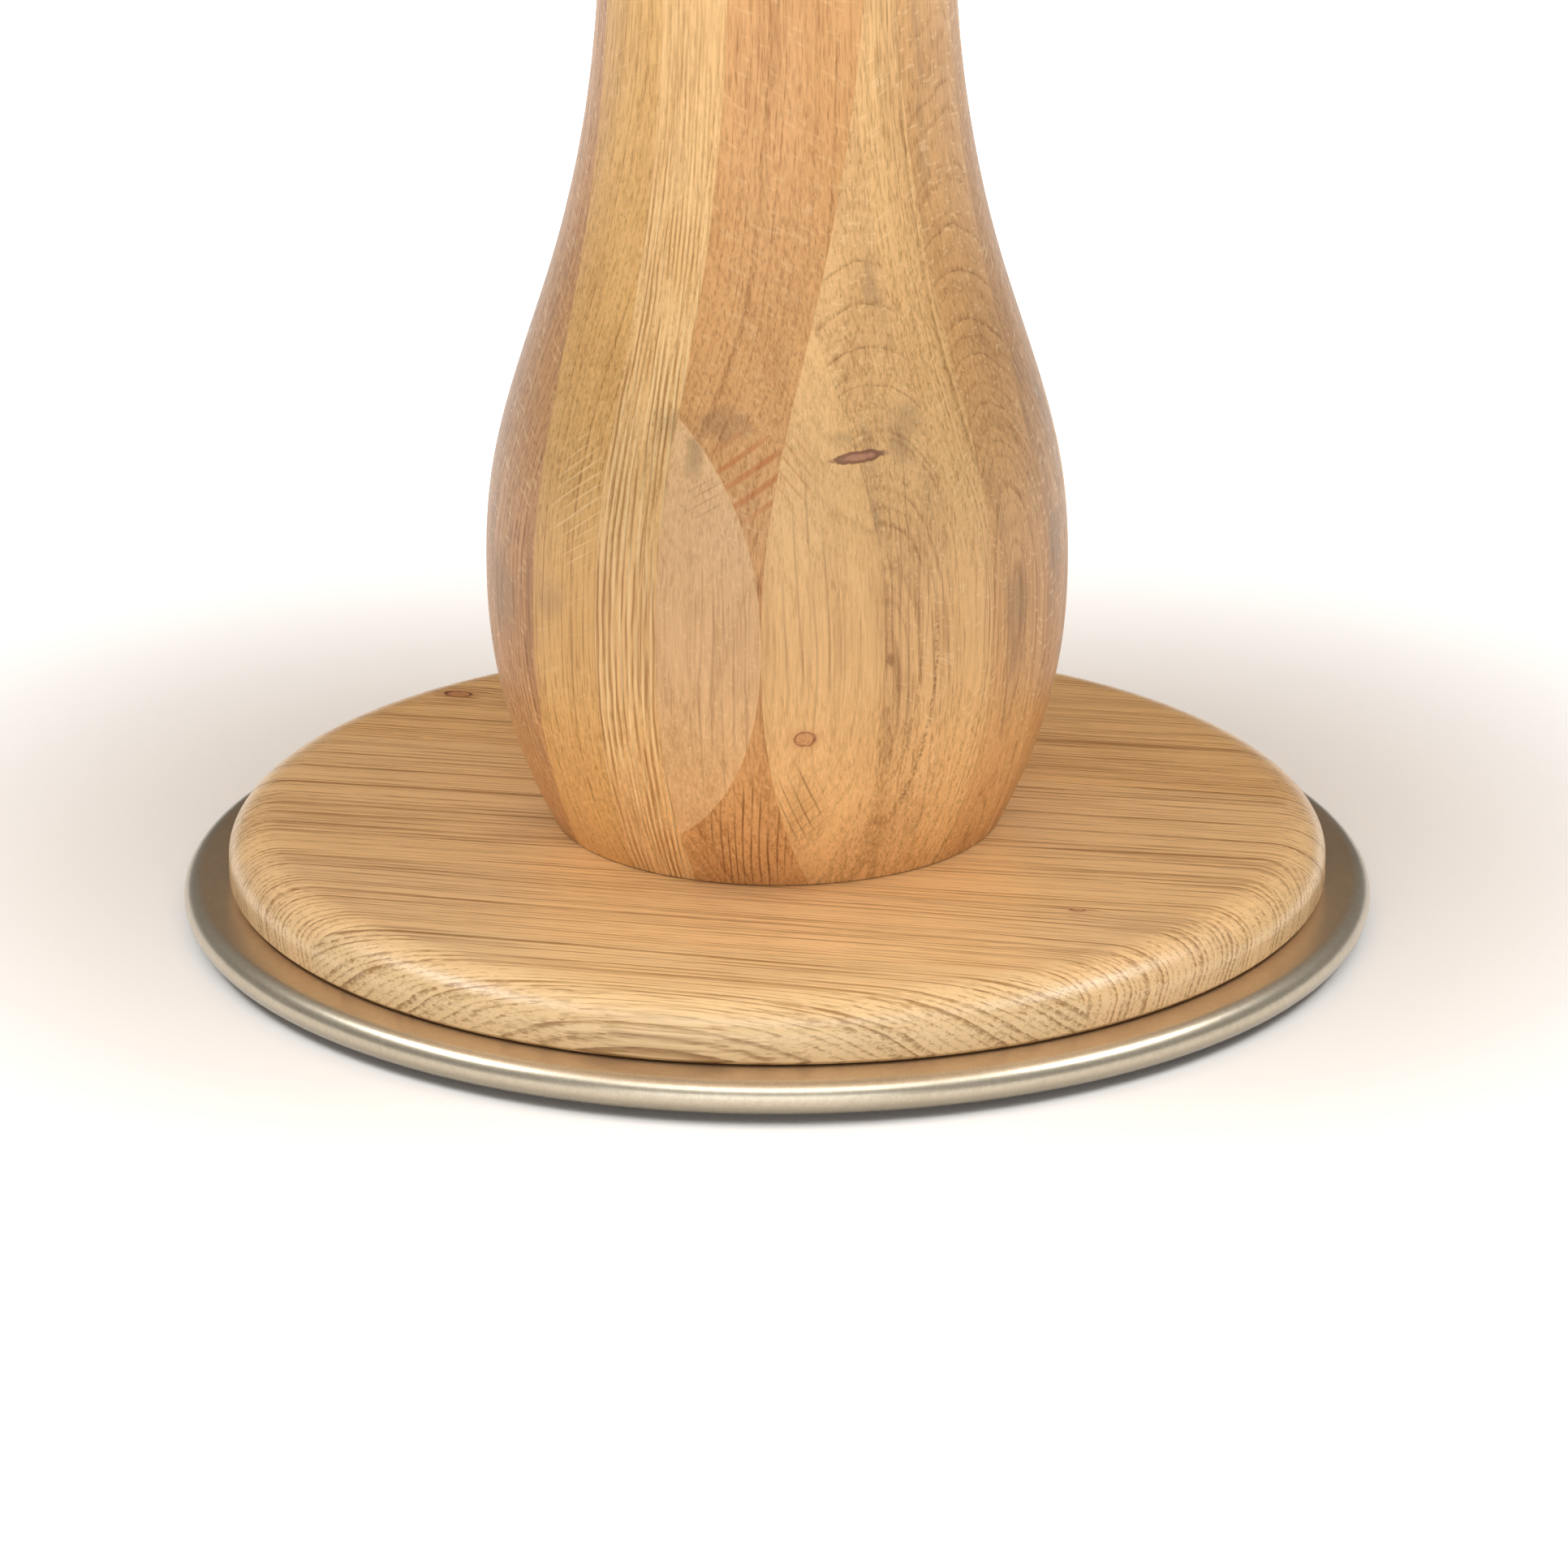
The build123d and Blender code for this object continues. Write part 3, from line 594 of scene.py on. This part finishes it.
BOARD_LIGHTS = {
    "base_board_1": srgb(238, 205, 154),
    "base_board_2": srgb(242, 205, 152),
}
BOARD_MARKS = {
    "base_board_2": [
        knot((200.6, -133.5), (4.5, 3.0), 0.8, 0.9),
        soft_patch((150, -127), (70, 4), RUST, 0.5),
    ],
    "base_board_5": [knot((-233.2, 163.0), (9.0, 5.5), 1.2, 1.0)],
}


def dress_wood(stem, axes, face, tone, gloss, first_seed, looks, marks):
    """Gives every board of one glued-up piece its own oak."""
    for number, node in enumerate(sorted(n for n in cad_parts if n.startswith(stem))):
        seed = first_seed + number
        look = looks.get(node) or plain_look(seed, span(node, axes[1]), span(node, axes[2]))
        look["light"] = BOARD_LIGHTS.get(node, look["light"])
        own_marks = marks.get(node, ())
        dress(node, oak_material(node, axes, face, tone, gloss, own_marks, seed=seeded(seed), **look))


# The column's colour carries painted shade round the belly and painted light at the foot.
dress_wood("column_stave", STAVE_AXES, column_face, column_painted_light_and_shade, 0.2, 0, STAVE_LOOKS, STAVE_MARKS)
# The disc's colour carries painted light on its flat top, paler than its rounded edge.
dress_wood("base_board", BOARD_AXES, board_face, disc_painted_light, 0.85, 30, {}, BOARD_MARKS)
dress_wood("top_board", BOARD_AXES, board_face, top_tone, 0.25, 50, {}, {})


# ---------------------------------------------------------------- metal, felt, plastic
def plain_material(name, color, rough, metallic=0.0, grain=0.4, grain_size=1.2):
    """A finish with a fine uneven grain in its colour, roughness and surface."""
    material = bpy.data.materials.new(name)
    material.use_nodes = True
    g = Graph(material.node_tree)
    shader = material.node_tree.nodes["Principled BSDF"]
    where = g.add("ShaderNodeTexCoord").outputs["Object"]
    speck = g.noise(g.scale(where, 1 / (grain_size * MM)), 3.0, 0.6)
    cloud = g.noise(g.scale(where, 25.0), 3.0)
    darker = tuple(0.62 * part for part in color[:3]) + (1.0,)
    g.put(shader.inputs["Base Color"], g.mix(g.total((grain, speck), (0.25, cloud)), darker, color))
    g.put(shader.inputs["Roughness"], g.total((0.16, cloud), rough - 0.08))
    bump = g.add("ShaderNodeBump", {"Strength": 0.3, "Distance": 0.0002, "Height": speck})
    g.put(shader.inputs["Normal"], bump.outputs["Normal"])
    shader.inputs["Metallic"].default_value = metallic
    return material


def champagne_lacquer():
    """Metallic lacquer: fine flakes that catch the light one by one, over a slightly uneven coat, with a
    painted reflection of the oak browning the flat and painted shade low on the rim.
    """
    material = bpy.data.materials.new("champagne_lacquer")
    material.use_nodes = True
    g = Graph(material.node_tree)
    shader = material.node_tree.nodes["Principled BSDF"]
    where = g.add("ShaderNodeTexCoord").outputs["Object"]
    flakes = g.noise(g.scale(where, 1 / (0.9 * MM)), 2.0, 0.6)
    mottle = g.noise(g.scale(where, 260.0), 3.0, 0.6)
    cloud = g.noise(g.scale(where, 9.0), 3.0)
    row = g.split(where)
    reach = g.vector("LENGTH", g.join(row["X"], row["Y"], 0.0))
    # Painted reflection of the oak: the flat within the rim is browner than the rim itself
    painted_reflection_mask = g.smooth(reach, base_radius - 0.006, base_radius - 0.012)
    pale = g.mix(painted_reflection_mask, srgb(230, 221, 201), srgb(235, 210, 174))
    deep = g.mix(painted_reflection_mask, srgb(176, 161, 134), srgb(190, 161, 125))
    tone = g.total((0.6, flakes), (0.5, mottle), (0.4, cloud), -0.25)
    # Painted shade, matched to the photo: the rim's lower lip is painted darker than the lamps make it
    painted_lip_shade = g.math("MULTIPLY", g.smooth(row["Z"], cover_low.z + 0.011, cover_low.z + 0.005), 0.6)
    g.put(shader.inputs["Base Color"], g.mix(painted_lip_shade, g.mix(tone, deep, pale), srgb(128, 112, 88)))
    g.put(shader.inputs["Roughness"], g.total((0.1, flakes), (0.08, cloud), 0.25))
    bump = g.add("ShaderNodeBump", {"Strength": 0.1, "Distance": 0.0002, "Height": flakes})
    g.put(shader.inputs["Normal"], bump.outputs["Normal"])
    shader.inputs["Metallic"].default_value = 0.75
    shader.inputs["Coat Weight"].default_value = 0.7
    shader.inputs["Coat Roughness"].default_value = 0.28
    return material


STEEL = plain_material("zinc_plate", srgb(186, 188, 190), 0.35, metallic=1.0, grain=0.3, grain_size=0.8)
BLACK_COAT = plain_material("black_coat", srgb(46, 46, 47), 0.5, grain=0.5, grain_size=0.7)
FELT = plain_material("dark_felt", srgb(40, 32, 26), 0.95, grain=0.8, grain_size=0.4)
NYLON = plain_material("nylon", srgb(44, 44, 46), 0.45, grain=0.3, grain_size=0.5)
FINISHES = {
    "base_cover": champagne_lacquer(),
    "ballast_plate": plain_material("black_primer", srgb(58, 57, 55), 0.65, grain=0.6, grain_size=2.0),
    "base_filler_ring": plain_material("fibreboard", srgb(158, 122, 84), 0.85, grain=0.9, grain_size=0.8),
    "base_felt": FELT,
    "column_pad": FELT,
    "column_dowels": plain_material("beech", srgb(214, 174, 130), 0.6, grain=0.6, grain_size=1.0),
    "mounting_plate": BLACK_COAT,
    "top_stiffener_left": BLACK_COAT,
    "top_stiffener_right": BLACK_COAT,
    "top_inserts": plain_material("brass", srgb(205, 170, 98), 0.3, metallic=1.0, grain=0.3, grain_size=0.8),
}
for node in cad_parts:
    if node in FINISHES:
        dress(node, FINISHES[node])
    elif node.startswith("foot_pad"):
        dress(node, NYLON)
    elif not node.startswith(("column_stave", "base_board", "top_board")):
        dress(node, STEEL)


# ---------------------------------------------------------------- studio
def studio_floor():
    """A large pale floor under the feet, which glows softly away from the table as a light table does:
    painted light that fills the table's shadow round the base and brightens the far floor.
    """
    size = 40.0
    mesh = bpy.data.meshes.new("studio_floor")
    corners = [(-size, -size, 0), (size, -size, 0), (size, size, 0), (-size, size, 0)]
    mesh.from_pydata(corners, [], [(0, 1, 2, 3)])
    floor = bpy.data.objects.new("studio_floor", mesh)
    bpy.context.scene.collection.objects.link(floor)
    material = bpy.data.materials.new("studio_floor")
    material.use_nodes = True
    g = Graph(material.node_tree)
    shader = material.node_tree.nodes["Principled BSDF"]
    reach = g.vector("LENGTH", g.add("ShaderNodeTexCoord").outputs["Object"])
    # Painted light: the glow starts 0.25 m out, in the table's shadow, and grows a little further off
    near = g.smooth(reach, 0.25, 1.1)
    far = g.smooth(reach, 2.5, 9.0)
    g.put(shader.inputs["Emission Strength"], g.total((0.7, near), (0.2, far)))
    shader.inputs["Emission Color"].default_value = (1.0, 1.0, 1.0, 1.0)
    shader.inputs["Base Color"].default_value = (0.97, 0.97, 0.965, 1.0)
    shader.inputs["Roughness"].default_value = 0.9
    shader.inputs["Specular IOR Level"].default_value = 0.1
    mesh.materials.append(material)


def softbox(name, azimuth, elevation, distance, width, height, power):
    """A rectangular area light that faces the middle of the base."""
    target = UP * disc_top
    lamp = bpy.data.lights.new(name, "AREA")
    lamp.shape = "RECTANGLE"
    lamp.size = width
    lamp.size_y = height
    lamp.energy = power
    light = bpy.data.objects.new(name, lamp)
    level = azimuth_direction(math.radians(azimuth)) * math.cos(math.radians(elevation))
    direction = level + UP * math.sin(math.radians(elevation))
    light.location = target + direction * distance
    light.rotation_euler = (-direction).to_track_quat("-Z", "Y").to_euler()
    bpy.context.scene.collection.objects.link(light)


studio_floor()
softbox("side_left", -86, 50, 5.0, 2.7, 1.1, 98)
softbox("side_right", 86, 50, 5.0, 2.7, 1.1, 95)
softbox("front", -4, 11, 4.4, 4.0, 1.6, 43)
softbox("front_high", 0, 58, 4.0, 3.0, 1.7, 62)
softbox("overhead", 0, 90, 4.5, 7.0, 7.0, 70)


def studio_world():
    """A white surround that adds only a little light of its own."""
    world = bpy.data.worlds.new("studio")
    world.use_nodes = True
    g = Graph(world.node_tree)
    glow = world.node_tree.nodes["Background"]
    glow.inputs["Color"].default_value = (0.97, 0.98, 1.0, 1.0)
    glow.inputs["Strength"].default_value = 0.07
    seen = g.add("ShaderNodeBackground", {"Color": (1.0, 1.0, 1.0, 1.0), "Strength": 1.0})
    direct = g.add("ShaderNodeLightPath").outputs["Is Camera Ray"]
    both = g.add("ShaderNodeMixShader", {0: direct, 1: glow.outputs[0], 2: seen.outputs[0]})
    g.put(world.node_tree.nodes["World Output"].inputs["Surface"], both.outputs[0])
    bpy.context.scene.world = world


studio_world()
bpy.context.scene.view_settings.view_transform = "Standard"


# ---------------------------------------------------------------- camera
def photo_camera():
    """Long lens, 20.6 degrees above the floor, aimed a little above the base."""
    distance = 12.0 * base_radius
    elevation = math.radians(20.64)
    pitch = math.radians(19.75)
    camera_data = bpy.data.cameras.new("camera")
    camera_data.sensor_width = 36.0
    camera_data.lens = 162.7
    camera_data.shift_x = 0.00435
    camera_data.clip_end = 100.0
    camera = bpy.data.objects.new("camera", camera_data)
    camera.location = (0, -distance * math.cos(elevation), cover_low.z + distance * math.sin(elevation))
    camera.rotation_euler = (math.pi / 2 - pitch, 0, 0)
    bpy.context.scene.collection.objects.link(camera)
    bpy.context.scene.camera = camera


photo_camera()
